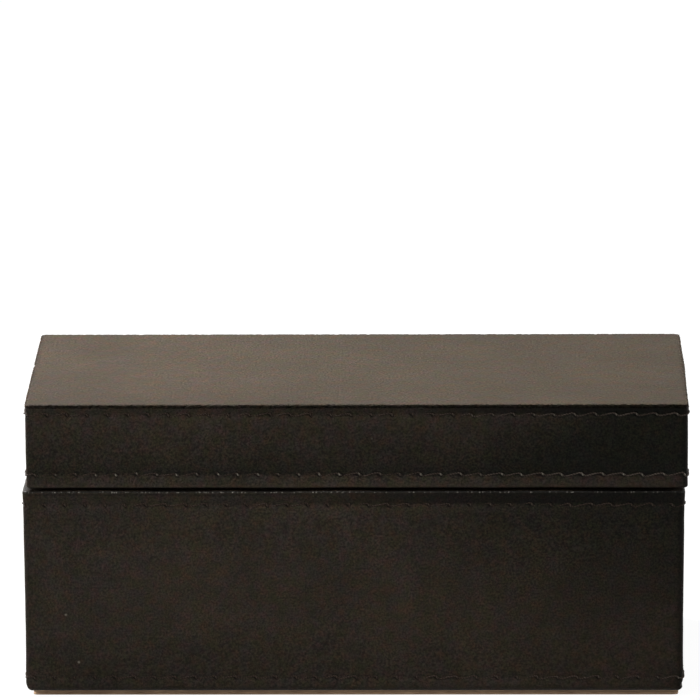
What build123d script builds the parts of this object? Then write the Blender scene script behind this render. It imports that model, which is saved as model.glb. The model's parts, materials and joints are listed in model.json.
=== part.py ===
"""Leather-covered stationery box with a lift-off lid, in millimetres, +Z up.

The box is a shoulder box. Its base is a tray of stiff boards under one wrapped band of leather, with a
suede-covered neck that stands up inside the rim. The lid is a second, shallower tray of boards under its own
band and a flat top sheet. It drops over the neck and rests on it, which leaves a fine dark line between the
two rims. Four hand-sewn seams run right round the outside, close to the edges that they hold.

The origin is at the middle of the footprint on the table. The front faces -Y and the width runs along X.
"""

import os

from build123d import *

# Overall sizes
BOX_WIDTH = 260.0  # outside of the leather, left to right
BOX_DEPTH = 108.0  # outside of the leather, front to back
BOX_HEIGHT = 120.0  # table to the top of the lid
RIM_HEIGHT = 84.8  # table to the top of the base's rim
REVEAL = 1.2  # open line between the base's rim and the lid's rim

# Materials, by thickness
LEATHER = 1.2  # outer bands and the lid's top sheet
SKIVED_LEATHER = 0.8  # the same leather, pared thin where it turns in out of sight
LID_BOARD = 2.3  # the lid's wall boards
LID_TOP_BOARD = 2.4
FLOOR_BOARD = 3.0
NECK_BOARD = 1.6
SUEDE = 0.6  # cover of the neck
LID_LINING = 0.8  # suede on a thin backing, inside the lid
FLOOR_PAD = 1.2  # padded suede on the floor
SOLE_PLY = 1.0  # each of the two layers glued under the base

# Edges, corners and turned-in leather
CORNER_RADIUS = 2.0  # upright corners, seen from above
RIM_ROLL = 0.8  # rounding of a folded rim
FOOT_ROLL = 2.6  # rounding where the band turns under the base
TOP_SHEET_ROLL = 0.5  # burnished upper edge of the lid's top sheet
SUEDE_ROLL = 0.4  # rounding along the top of the neck
RIM_TURN_IN = 9.0  # leather folded over a rim and down the inside
FOOT_TURN_IN = 14.0  # leather folded under the base
NECK_TUCK = 10.0  # suede that goes down between the rim and the neck
SOLE_INSET = 2.8  # sole's edge in from the outside of the leather
SOLE_CORNER = 3.0
BAND_JOIN = 0.3  # butt joint of each band, at the middle of the back

# Fit of the lid on the neck
NECK_PLAY = 1.7  # gap all round between the lid's inside and the neck, with the lid centred
SIDE_GAP = 0.4  # what is left of that gap on the left, where the loose lid has come to rest
SEAT_GAP = 0.3  # under the lid's ceiling, where it rests on the neck

# Seams, each in a shallow trough that the tight thread draws into the leather
SEAM_TROUGH_WIDTH = 3.6
SEAM_TROUGH_DEPTH = 0.35
BASE_RIM_SEAM = 5.8  # from the base's rim down to its upper seam
BASE_FOOT_SEAM = 6.0  # from the bottom of the band up to its lower seam
LID_RIM_SEAM = 5.4  # from the lid's rim up to its lower seam
LID_TOP_SEAM = 4.2  # from the lid's top down to its upper seam

# Heights that follow
SHELL_BOTTOM = 2 * SOLE_PLY
FLOOR_BOARD_BOTTOM = SHELL_BOTTOM + SKIVED_LEATHER
FLOOR_TOP = FLOOR_BOARD_BOTTOM + FLOOR_BOARD
LID_RIM = RIM_HEIGHT + REVEAL
TOP_SHEET_BOTTOM = BOX_HEIGHT - LEATHER
LID_WALL_TOP = TOP_SHEET_BOTTOM - LID_TOP_BOARD
CEILING = LID_WALL_TOP - LID_LINING
NECK_TOP = CEILING - SEAT_GAP

# Setbacks that follow, each in from the outside of the leather
LID_INSIDE = LEATHER + LID_BOARD + SKIVED_LEATHER
NECK_OUTSIDE = LID_INSIDE + NECK_PLAY
BASE_BOARD = NECK_OUTSIDE - LEATHER - SKIVED_LEATHER
NECK_BOARD_OUTSIDE = NECK_OUTSIDE + SUEDE
NECK_BOARD_INSIDE = NECK_BOARD_OUTSIDE + NECK_BOARD
NECK_INSIDE = NECK_BOARD_INSIDE + SUEDE

# The lid lies off centre by its play, and the two share the offset about the origin
LID_SHIFT = NECK_PLAY - SIDE_GAP
BASE_X = -LID_SHIFT / 2
LID_X = LID_SHIFT / 2


def block(setback, bottom, top, x, radius=0.0):
    """An upright block of the box's footprint, set back all round, with rounded upright corners."""
    width = BOX_WIDTH - 2 * setback
    depth = BOX_DEPTH - 2 * setback
    outline = RectangleRounded(width, depth, radius) if radius > 0 else Rectangle(width, depth)
    return Pos(x, 0, bottom) * extrude(outline, top - bottom)


def corner_at(setback):
    """Radius of an upright corner at that depth inside the wall."""
    return max(CORNER_RADIUS - setback, 0.0)


def edges_at(solid, height):
    """The edges of a solid that lie level at that height."""
    return solid.edges().filter_by_position(Axis.Z, height, height)


def seam_trough(height, x):
    """The bar that cuts one seam's trough: a round bar bent round the box, mostly outside its faces."""
    half = SEAM_TROUGH_WIDTH / 2
    radius = (half**2 + SEAM_TROUGH_DEPTH**2) / (2 * SEAM_TROUGH_DEPTH)
    stand_off = radius - SEAM_TROUGH_DEPTH
    width = BOX_WIDTH + 2 * stand_off
    depth = BOX_DEPTH + 2 * stand_off
    path = Pos(x, 0, height) * RectangleRounded(width, depth, CORNER_RADIUS + stand_off).wire()
    start = Plane(origin=path @ 0, z_dir=path % 0)
    return sweep(start * Circle(radius), path=path)


def back_join(bottom, top, x):
    """The slit where the two ends of a band meet, through the back wall only."""
    reach = NECK_OUTSIDE + FOOT_TURN_IN
    return Pos(x, BOX_DEPTH / 2 - reach / 2, (bottom + top) / 2) * Box(BAND_JOIN, 2 * reach, top - bottom + 2)


def wall_boards(outside, thickness, bottom, top, x):
    """Four upright boards: front and back run the full width, and the sides fit between them."""
    whole = block(outside, bottom, top, x, corner_at(outside))
    width = BOX_WIDTH - 2 * outside
    depth = BOX_DEPTH - 2 * outside
    height = top - bottom
    middle = (top + bottom) / 2
    long_board = Box(width, thickness, height)
    short_board = Box(thickness, depth - 2 * thickness, height)
    y = (depth - thickness) / 2
    side = (width - thickness) / 2
    return {
        "front": whole & (Pos(x, -y, middle) * long_board),
        "back": whole & (Pos(x, y, middle) * long_board),
        "left": Pos(x - side, 0, middle) * short_board,
        "right": Pos(x + side, 0, middle) * short_board,
    }


def base_band():
    """Leather round the base: folded over the rim, down the inside, and under the floor."""
    band = block(0, SHELL_BOTTOM, RIM_HEIGHT, BASE_X, CORNER_RADIUS)
    band = fillet(edges_at(band, SHELL_BOTTOM), FOOT_ROLL)
    fold = RIM_HEIGHT - RIM_TURN_IN
    below_fold = block(LEATHER, FLOOR_BOARD_BOTTOM, fold, BASE_X, corner_at(LEATHER))
    band -= fillet(edges_at(below_fold, FLOOR_BOARD_BOTTOM), foot_board_roll())
    boards = block(LEATHER, fold, RIM_HEIGHT - LEATHER, BASE_X, corner_at(LEATHER))
    band -= boards - block(LEATHER + BASE_BOARD, fold, RIM_HEIGHT, BASE_X)
    band -= block(NECK_OUTSIDE, fold, RIM_HEIGHT, BASE_X)
    band -= block(FOOT_TURN_IN, SHELL_BOTTOM, FLOOR_BOARD_BOTTOM, BASE_X)
    band = fillet(edges_at(band, RIM_HEIGHT), RIM_ROLL)
    band -= seam_trough(RIM_HEIGHT - BASE_RIM_SEAM, BASE_X)
    band -= seam_trough(SHELL_BOTTOM + BASE_FOOT_SEAM, BASE_X)
    return band - back_join(SHELL_BOTTOM, RIM_HEIGHT, BASE_X)


def foot_board_roll():
    """Rounding of the floor board's lower edge, so that the leather keeps its thickness round it."""
    return FOOT_ROLL - LEATHER


def floor_board():
    """Full-size board that the walls stand on, with the lower edge rounded for the leather."""
    board = block(LEATHER, FLOOR_BOARD_BOTTOM, FLOOR_TOP, BASE_X, corner_at(LEATHER))
    return fillet(edges_at(board, FLOOR_BOARD_BOTTOM), foot_board_roll())


def lid_band():
    """Leather round the lid: folded over the rim and up the inside, and cut flush under the top sheet."""
    band = block(0, LID_RIM, TOP_SHEET_BOTTOM, LID_X, CORNER_RADIUS)
    fold = LID_RIM + RIM_TURN_IN
    band -= block(LEATHER, fold, TOP_SHEET_BOTTOM, LID_X, corner_at(LEATHER))
    boards = block(LEATHER, LID_RIM + LEATHER, fold, LID_X, corner_at(LEATHER))
    band -= boards - block(LEATHER + LID_BOARD, LID_RIM, fold, LID_X)
    band -= block(LID_INSIDE, LID_RIM, fold, LID_X)
    band = fillet(edges_at(band, LID_RIM), RIM_ROLL)
    band -= seam_trough(LID_RIM + LID_RIM_SEAM, LID_X)
    band -= seam_trough(BOX_HEIGHT - LID_TOP_SEAM, LID_X)
    return band - back_join(LID_RIM, TOP_SHEET_BOTTOM, LID_X)


def lid_top_sheet():
    """Flat sheet on the lid, cut flush with the band and burnished round its upper edge."""
    sheet = block(0, TOP_SHEET_BOTTOM, BOX_HEIGHT, LID_X, CORNER_RADIUS)
    return fillet(edges_at(sheet, BOX_HEIGHT), TOP_SHEET_ROLL)


def neck_cover():
    """Suede over the neck: up the inside, over the top, and down the outside to below the rim."""
    tuck = RIM_HEIGHT - NECK_TUCK
    cover = block(NECK_OUTSIDE, tuck, NECK_TOP, BASE_X, SUEDE + SUEDE_ROLL)
    cover += block(NECK_BOARD_INSIDE, FLOOR_TOP, tuck, BASE_X)
    boards = block(NECK_BOARD_OUTSIDE, tuck, NECK_TOP - SUEDE, BASE_X, SUEDE_ROLL)
    cover -= boards - block(NECK_BOARD_INSIDE, tuck, NECK_TOP, BASE_X)
    cover -= block(NECK_INSIDE, FLOOR_TOP, NECK_TOP, BASE_X)
    return fillet(edges_at(cover, NECK_TOP), SUEDE_ROLL)


def neck_boards():
    """Four thin boards inside the suede, standing on the floor."""
    boards = wall_boards(NECK_BOARD_OUTSIDE, NECK_BOARD, FLOOR_TOP, NECK_TOP - SUEDE, BASE_X)
    shape = block(NECK_BOARD_OUTSIDE, FLOOR_TOP, NECK_TOP - SUEDE, BASE_X, SUEDE_ROLL)
    boards["front"] = boards["front"] & shape
    boards["back"] = boards["back"] & shape
    return boards


def lid_linings():
    """Lining of the lid's four walls, from the ceiling down to the turned-in leather."""
    outside = LEATHER + LID_BOARD
    return wall_boards(outside, SKIVED_LEATHER, LID_RIM + RIM_TURN_IN, CEILING, LID_X)


def sole_ply(bottom):
    """One layer of the sole."""
    width = BOX_WIDTH - 2 * SOLE_INSET
    depth = BOX_DEPTH - 2 * SOLE_INSET
    return Pos(BASE_X, 0, bottom) * extrude(RectangleRounded(width, depth, SOLE_CORNER), SOLE_PLY)


def build():
    """Every node of the box, by name."""
    nodes = {
        "base_floor_board": floor_board(),
        "base_leather_band": base_band(),
        "base_floor_pad": block(NECK_INSIDE, FLOOR_TOP, FLOOR_TOP + FLOOR_PAD, BASE_X),
        "base_filler_card": block(FOOT_TURN_IN, SHELL_BOTTOM, FLOOR_BOARD_BOTTOM, BASE_X),
        "sole_inner_ply": sole_ply(SOLE_PLY),
        "sole_outer_ply": sole_ply(0),
        "neck_suede_cover": neck_cover(),
        "lid_top_board": block(LEATHER, LID_WALL_TOP, TOP_SHEET_BOTTOM, LID_X, corner_at(LEATHER)),
        "lid_leather_band": lid_band(),
        "lid_top_sheet": lid_top_sheet(),
        "lid_ceiling_lining": block(LEATHER + LID_BOARD, CEILING, LID_WALL_TOP, LID_X),
    }
    base_walls = wall_boards(LEATHER, BASE_BOARD, FLOOR_TOP, RIM_HEIGHT - LEATHER, BASE_X)
    lid_walls = wall_boards(LEATHER, LID_BOARD, LID_RIM + LEATHER, LID_WALL_TOP, LID_X)
    for side in ("front", "back", "left", "right"):
        nodes[f"base_{side}_board"] = base_walls[side]
        nodes[f"neck_{side}_board"] = neck_boards()[side]
        nodes[f"lid_{side}_board"] = lid_walls[side]
        nodes[f"lid_{side}_lining"] = lid_linings()[side]
    return nodes


os.makedirs("parts", exist_ok=True)
for name, shape in build().items():
    export_step(shape, f"parts/{name}.step")
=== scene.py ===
"""Leather-covered stationery box: the finished surfaces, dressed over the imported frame.

The leather bands, the flat sheets, the neck's cover and the threads are surfaces worked out on grids of two
parameters. Most are a wall's profile carried round a rounded rectangle: at each depth in from the outside,
the outline shrinks and its corners tighten with it. Lengths are in metres.
"""

import json
import math

import bpy
import numpy as np
from mathutils import Matrix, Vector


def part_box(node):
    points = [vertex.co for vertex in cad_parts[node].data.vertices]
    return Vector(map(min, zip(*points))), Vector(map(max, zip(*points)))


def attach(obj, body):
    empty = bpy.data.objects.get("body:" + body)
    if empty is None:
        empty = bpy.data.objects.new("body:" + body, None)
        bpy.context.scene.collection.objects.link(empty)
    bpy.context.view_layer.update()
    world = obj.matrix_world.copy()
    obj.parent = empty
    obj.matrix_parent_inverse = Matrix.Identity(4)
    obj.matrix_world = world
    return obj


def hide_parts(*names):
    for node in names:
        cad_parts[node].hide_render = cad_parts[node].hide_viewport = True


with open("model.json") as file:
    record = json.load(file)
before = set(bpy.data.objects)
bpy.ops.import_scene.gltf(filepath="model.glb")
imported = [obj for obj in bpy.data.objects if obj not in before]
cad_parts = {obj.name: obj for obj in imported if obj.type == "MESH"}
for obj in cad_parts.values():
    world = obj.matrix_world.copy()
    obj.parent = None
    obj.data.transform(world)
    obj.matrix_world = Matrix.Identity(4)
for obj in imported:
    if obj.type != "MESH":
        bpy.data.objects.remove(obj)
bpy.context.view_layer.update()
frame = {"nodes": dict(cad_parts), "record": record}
MM = 0.001

# Leather and board, by thickness
LEATHER = 1.2 * MM
TURNED_IN = 0.8 * MM  # pared leather where it is folded out of sight
CORNER = 2.0 * MM  # upright corners, seen from above
TIGHTEST = 0.25 * MM  # smallest corner of an inner outline
RIM_ROLL = 0.8 * MM
FOOT_ROLL = 2.6 * MM
FOLD_DEPTH = 9.0 * MM  # leather folded over a rim and down or up the inside
FOOT_FOLD = 14.0 * MM  # leather folded under the base
CUT_EDGE_ROLL = 0.3 * MM
JOIN_GAP = 0.3 * MM  # butt joint of each band, at the middle of the back

# Seams
STITCHES = 92  # in one round of the box
THREAD = 0.68 * MM  # diameter
STITCH_RISE = 1.15 * MM  # from the low end of a stitch to its high end
DRAW_SHORT = 2.6 * MM  # how far from a seam its pull dies away, near it
DRAW_LONG = 9.0 * MM  # and further out
TROUGH_DEPTH = 0.13 * MM
TROUGH_WIDTH = 1.1 * MM
HOLE_DEPTH = 0.3 * MM
HOLE_LENGTH = 1.2 * MM
HOLE_WIDTH = 0.7 * MM
HOLE_SLANT = math.radians(-45)
FAR_UP = 5.0  # the inside of the leather, on the map of stitches: out of reach of the holes
LAY_TURNS = 4.0  # turns of the thread's two cords in one stitch
SUNK = 0.36  # how much deeper the well-waxed thread lies than the dry thread, in threads

# How the leather is drawn in round a seam and round the box
PULL_ROUND = 0.7 * MM  # rounds the dip off at the seam's own line
PULL_MARGIN = 1.4 * MM  # the flare is done this far from the edge
PULL_CORNER = 9.0 * MM  # how far from an upright corner the leather hardly gives

# Surface relief
FULLNESS = 0.35 * MM  # how far the leather stands out halfway between its two seams
WAVE_HEIGHT = 0.05 * MM
COLUMN_STEP = 0.95 * MM
FINE_ROW = 0.36 * MM
COARSE_ROW = 2.4 * MM
ROW_REACH = 2.4 * MM  # how far either side of a fine height the rows stay close
# how far the painted shade on the upright corners spreads
CORNER_SHADE = 1.9 * MM
DARK_LINE = 1.4 * MM  # how far under the base's rim a dark line runs


# ---- grids and outlines


class Outline:
    """A rounded rectangle seen from above, walked from the middle of the back by the left, front and right.

    Each column has a core factor (ux, uy), which is where its point lies between the corner centres, and an
    outward direction (nx, ny). At a depth d in from the outside, the point is the core factor times the
    corner centre, plus the corner's radius times the outward direction.
    """

    def __init__(self, low, high, corner, step, gap=0.0, corner_steps=7):
        self.centre = np.array([(low[0] + high[0]) / 2, (low[1] + high[1]) / 2])
        self.half = np.array([(high[0] - low[0]) / 2, (high[1] - low[1]) / 2])
        self.corner = corner
        cx, cy = self.half - corner
        arc = corner * math.pi / 2
        legs, angle, at = [], 90, (-gap / 2, cy)
        for centre in ((-cx, cy), (-cx, -cy), (cx, -cy), (cx, cy)):
            legs += [(at, centre, angle, angle), (centre, centre, angle, angle + 90)]
            angle, at = angle + 90, centre
        legs.append((at, (gap / 2, cy), angle, angle))
        walk, start = [], 0.0
        for (ax, ay), (bx, by), angle_a, angle_b in legs:
            straight = math.hypot(bx - ax, by - ay)
            length = straight if straight > 0 else arc
            count = round(length / step) if straight > 0 else corner_steps
            part = np.arange(count) / count
            ways = (ax, bx - ax), (ay, by - ay), (angle_a, angle_b - angle_a), (start, length)
            walk.append(np.stack([first + way * part for first, way in ways], 1))
            start += length
        if gap > 0:
            walk.append(np.array([[gap / 2, cy, angle, start]]))
        walk = np.concatenate(walk)
        angle = np.radians(walk[:, 2])
        self.factor = walk[:, :2] / np.array([cx, cy])
        self.normal = np.stack([np.cos(angle), np.sin(angle)], 1)
        self.run = walk[:, 3]
        self.length = start

    def points(self, depth, height):
        """Rows of points at each depth and height: a grid of rows by columns by three."""
        depth = np.asarray(depth)[:, None]
        radius = np.maximum(self.corner - depth, TIGHTEST)
        x = self.factor[None, :, 0] * (self.half[0] - depth - radius) + radius * self.normal[None, :, 0]
        y = self.factor[None, :, 1] * (self.half[1] - depth - radius) + radius * self.normal[None, :, 1]
        z = np.broadcast_to(np.asarray(height)[:, None], x.shape)
        return np.stack([x + self.centre[0], y + self.centre[1], z], 2)

    def ring(self):
        """The outer outline's own points, seen from above."""
        return self.points([0.0], [0.0])[0, :, :2]

    def at(self, run):
        """The outer outline's point and outward direction at each distance run."""
        ends = np.append(self.run, self.length)
        point, outward = (
            np.stack([np.interp(run % self.length, ends, np.append(part, part[0])) for part in values.T], -1)
            for values in (self.ring(), self.normal)
        )
        return point, unit(outward)

    def front_middle(self):
        """Distance run to the middle of the front."""
        return self.length / 2


def spaced(low, high, fine_at):
    """Heights from low to high, close together near each of fine_at and further apart elsewhere.

    The spacing's inverse is added up along the height, and even steps of that sum give the heights.
    """
    fine = np.linspace(low, high, 4001)
    near = np.min(np.abs(fine[:, None] - np.asarray(fine_at)[None, :]), axis=1)
    blend = np.clip((near - ROW_REACH) / ROW_REACH, 0, 1)
    density = 1 / (FINE_ROW + (COARSE_ROW - FINE_ROW) * blend)
    total = np.concatenate([[0], np.cumsum((density[1:] + density[:-1]) / 2 * np.diff(fine))])
    count = max(int(math.ceil(total[-1])), 2)
    return np.interp(np.linspace(0, total[-1], count + 1), total, fine)


def turn(centre_depth, centre_height, radius, start, stop, count):
    """Depths and heights along a quarter roll about a centre: angles from start to stop, in degrees."""
    angle = np.radians(np.linspace(start, stop, count))
    return centre_depth - radius * np.cos(angle), centre_height + radius * np.sin(angle)


def chain(*pieces):
    """Joins stretches of (depths, heights) into one profile, and drops points that repeat."""
    depth = np.concatenate([np.atleast_1d(p[0]) for p in pieces])
    height = np.concatenate([np.atleast_1d(p[1]) for p in pieces])
    keep = np.append(True, np.hypot(np.diff(depth), np.diff(height)) > 1e-7)
    return depth[keep], height[keep]


def level(start, stop, height, count):
    """A level stretch of profile, from one depth to another."""
    return np.linspace(start, stop, count), np.full(count, height)


def upright(depth, start, stop, count):
    """An upright stretch of profile, from one height to another."""
    return np.full(count, depth), np.linspace(start, stop, count)


def waves(u, v, around, wavelength, seed, count=14):
    """Gentle random waves with height about one: a sum of sines in random directions.

    Each sine makes a whole number of turns in the distance around, so that a closed loop has no step.
    """
    rng = np.random.default_rng(seed)
    total = np.zeros(np.broadcast(u, v).shape)
    for _ in range(count):
        size = wavelength * rng.uniform(0.6, 1.8)
        angle = rng.uniform(0, 2 * math.pi)
        turns = round(around / size * math.cos(angle))
        total += np.sin(
            2 * math.pi * (turns * u / around + math.sin(angle) * v / size) + rng.uniform(0, 2 * math.pi)
        )
    return total / math.sqrt(count / 2)


def unit(vectors):
    """The vectors, brought to a length of one."""
    return vectors / np.linalg.norm(vectors, axis=-1, keepdims=True)


def bell(value, width):
    """One where the value is nought, dying away on both sides of it."""
    return np.exp(-((value / width) ** 2))


def smooth(value, low, high):
    """Rises from nought at low to one at high: three times the square of the part, less twice its cube."""
    part = np.clip((value - low) / (high - low), 0, 1)
    return part * part * (3 - 2 * part)


def grid_normals(points):
    """Unit normals of a grid of points, from the cross product of its two directions."""
    normal = np.cross(np.gradient(points, axis=1), np.gradient(points, axis=0))
    return normal / np.maximum(np.linalg.norm(normal, axis=2, keepdims=True), 1e-12)


def grid_faces(rows, columns, closed=False, first=0, looped=False):
    """Four-cornered faces of a grid. A closed one goes round its columns, a looped one round its rows."""
    index = first + np.arange(rows * columns).reshape(rows, columns)
    if looped:
        index = np.concatenate([index, index[:1]], 0)
    if closed:
        index = np.concatenate([index, index[:, :1]], 1)
    return np.stack([index[:-1, :-1], index[:-1, 1:], index[1:, 1:], index[1:, :-1]], -1).reshape(-1, 4)


def make_mesh(name, points, faces, material, values=None):
    """A smooth mesh object from points and faces, with named values kept on its points, facing outwards."""
    mesh = bpy.data.meshes.new(name)
    faces = [list(map(int, f)) for f in faces]
    mesh.from_pydata(np.reshape(points, (-1, 3)).tolist(), [], faces)
    mesh.validate()
    mesh.polygons.foreach_set("use_smooth", np.full(len(mesh.polygons), True))
    for key, value in (values or {}).items():
        layer = mesh.attributes.new(key, "FLOAT", "POINT")
        layer.data.foreach_set("value", np.asarray(value, np.float32).ravel())
    obj = bpy.data.objects.new(name, mesh)
    bpy.context.scene.collection.objects.link(obj)
    mesh.materials.append(material)
    point_outwards(mesh)
    mesh.update()
    return obj


def read(items, key, parts=1, kind=np.int32):
    """One property of every item."""
    values = np.zeros(len(items) * parts, kind)
    items.foreach_get(key, values)
    return values


def point_outwards(mesh):
    """Turns every face over if the closed surface holds a negative volume."""
    co = read(mesh.vertices, "co", 3, float).reshape(-1, 3)
    mesh.calc_loop_triangles()
    corners = read(mesh.loop_triangles, "vertices", 3).reshape(-1, 3)
    a, b, c = (co[corners[:, k]] for k in range(3))
    if np.einsum("ij,ij->i", a, np.cross(b, c)).sum() < 0:
        mesh.flip_normals()


def add_map(mesh, name, u, v):
    """A map of two parts, at each corner of each face."""
    values = np.stack([u, v], 1).astype(np.float32)
    mesh.uv_layers.new(name=name).data.foreach_set("uv", values.ravel())


def finish_piece(obj, body, slot, *nodes):
    """Makes a piece ride on its body and stand for its frame nodes, which it hides. The slot is not used."""
    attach(obj, body)
    if nodes:
        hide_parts(*nodes)
    return obj


# ---- materials


class Nodes:
    """A node tree, with short ways to add and join nodes. A value is a socket, a number or a colour."""

    def __init__(self, tree):
        self.tree = tree

    def add(self, kind, **settings):
        """A new node, with numbers for its inputs and its own settings."""
        node = self.tree.nodes.new("ShaderNode" + kind)
        for key, value in settings.items():
            if key in node.inputs:
                node.inputs[key].default_value = value
            else:
                setattr(node, key, value)
        return node

    def put(self, value, socket):
        """Gives a socket its value."""
        if isinstance(value, bpy.types.NodeSocket):
            self.tree.links.new(value, socket)
        elif isinstance(value, (int, float)):
            socket.default_value = value
        else:
            socket.default_value = (*value, 1)

    def calc(self, operation, a, b=0.0):
        """One sum on two values."""
        node = self.add("Math", operation=operation)
        self.put(a, node.inputs[0])
        self.put(b, node.inputs[1])
        return node.outputs[0]

    def mean(self, a, b):
        """Halfway between two values."""
        return self.calc("MULTIPLY", self.calc("ADD", a, b), 0.5)

    def mix(self, factor, a, b, blend="MIX"):
        """A mix of two colours."""
        node = self.add("Mix", data_type="RGBA", blend_type=blend)
        self.put(factor, node.inputs[0])
        self.put(a, node.inputs[6])
        self.put(b, node.inputs[7])
        return node.outputs[2]

    def fade(self, value, near, far, at_near, at_far):
        """Goes smoothly from one number to another as the value goes from near to far."""
        ends = {"From Min": near, "From Max": far, "To Min": at_near, "To Max": at_far}
        node = self.add("MapRange", interpolation_type="SMOOTHSTEP", **ends)
        self.put(value, node.inputs["Value"])
        return node.outputs["Result"]


class Material(Nodes):
    """A material with its surface shader, and textures that lie in the piece's own coordinates."""

    def __init__(self, name, settings):
        self.data = bpy.data.materials.new(name)
        self.data.use_nodes = True
        super().__init__(self.data.node_tree)
        self.shader = self.tree.nodes["Principled BSDF"]
        for key, value in settings.items():
            self.shader.inputs[key].default_value = value
        self.place = self.add("TexCoord").outputs["Object"]

    def stretched(self, scale):
        """The coordinates, scaled along each axis."""
        mapping = self.add("Mapping", Scale=scale)
        self.put(self.place, mapping.inputs["Vector"])
        return mapping.outputs["Vector"]

    def noise(self, scale, detail=4, roughness=0.6, stretch=None, at=None):
        """Noise at a scale in features a metre, stretched along the axes or read elsewhere if asked."""
        node = self.add("TexNoise", Scale=scale, Detail=detail, Roughness=roughness)
        self.put(at or (self.stretched(stretch) if stretch else self.place), node.inputs["Vector"])
        return node.outputs["Fac"]

    def ramp(self, value, *stops):
        """What a value becomes between (position, grey or colour) stops."""
        node = self.add("ValToRGB")
        elements = node.color_ramp.elements
        while len(elements) < len(stops):
            elements.new(0.5)
        for element, (place, colour) in zip(elements, stops):
            grey = isinstance(colour, (int, float))
            element.position = place
            element.color = (colour, colour, colour, 1) if grey else (*colour, 1)
        self.put(value, node.inputs["Fac"])
        return node.outputs["Color"]

    def kept(self, name):
        """A named value kept on the piece's points."""
        return self.add("Attribute", attribute_type="GEOMETRY", attribute_name=name).outputs["Fac"]

    def mapped(self, name):
        """The two parts of a named map."""
        split = self.add("SeparateXYZ")
        self.put(self.add("UVMap", uv_map=name).outputs["UV"], split.inputs[0])
        return split.outputs["X"], split.outputs["Y"]

    def finish(self, colour, height, strength, distance):
        """Joins the colour and a bump to the shader."""
        self.put(colour, self.shader.inputs["Base Color"])
        bump = self.add("Bump", Strength=strength, Distance=distance)
        self.put(height, bump.inputs["Height"])
        self.put(bump.outputs["Normal"], self.shader.inputs["Normal"])
        return self.data


def stitch_hole_shade(hide):
    """Painted shade in slits at the stitch holes: dark bell-shaped spots that lean at forty-five degrees.

    The map runs in pitches. Its fraction is the distance along from the nearest drop, and its second part
    the height above the seam. Their sum and difference lie across and along the slit.
    """
    run, up = hide.mapped("stitches")
    along = hide.calc("SUBTRACT", run, hide.calc("ROUND", run))
    ahead = hide.calc("SUBTRACT", along, up)
    across = hide.calc("ADD", hide.calc("ADD", along, up), PIT_SHIFT)
    length, width = (
        hide.calc("POWER", hide.calc("ABSOLUTE", hide.calc("DIVIDE", part, size)), 2.0)
        for part, size in ((ahead, PIT_LENGTH), (across, PIT_WIDTH))
    )
    return hide.calc("EXPONENT", hide.calc("MULTIPLY", hide.calc("ADD", length, width), -1.0))


def dust(hide, spot):
    """A speck of dust on the leather: one at its middle, falling to nought at its edge."""
    distance = hide.add("VectorMath", operation="DISTANCE")
    hide.put(hide.place, distance.inputs[0])
    distance.inputs[1].default_value = spot
    return hide.fade(distance.outputs["Value"], 0.0, DUST_SIZE, 1.0, 0.0)


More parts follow.
